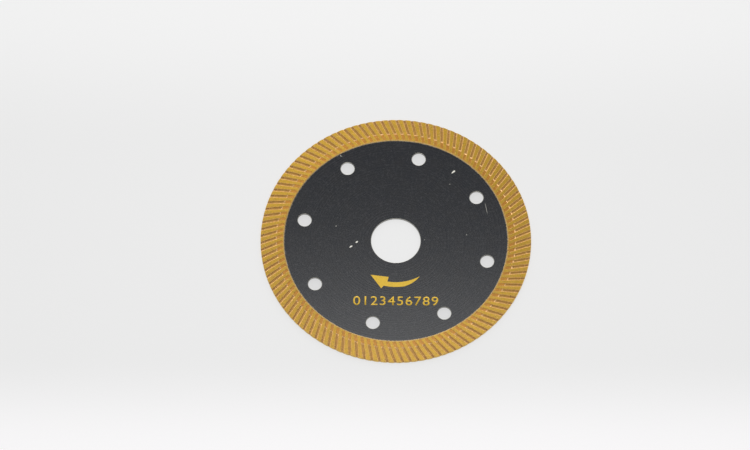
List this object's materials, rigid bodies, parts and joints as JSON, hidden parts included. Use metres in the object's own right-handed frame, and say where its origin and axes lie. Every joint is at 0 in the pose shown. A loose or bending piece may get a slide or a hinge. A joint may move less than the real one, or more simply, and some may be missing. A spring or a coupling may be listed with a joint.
{
  "type": "diamond saw blade",
  "caption": "Thin round steel disc with a central bore and small cooling holes, gripped at its edge by a sintered abrasive ring with slanted grooves in both faces.",
  "frame": {"origin": "centre of the bore, at the middle of the blade's thickness", "axes": "+Z along the bore axis, out of the face that looks up when the blade lies flat; +X and +Y in the plane of the disc"},
  "size_m": [0.11, 0.11, 0.001],
  "materials": {
    "black_steel": "satin black coat on steel",
    "sintered_bond": "matte gold-coloured sintered metal with fine grit"
  },
  "bodies": {
    "root": {"steel_core": "black_steel", "diamond_rim": "sintered_bond"}
  },
  "joints": []
}
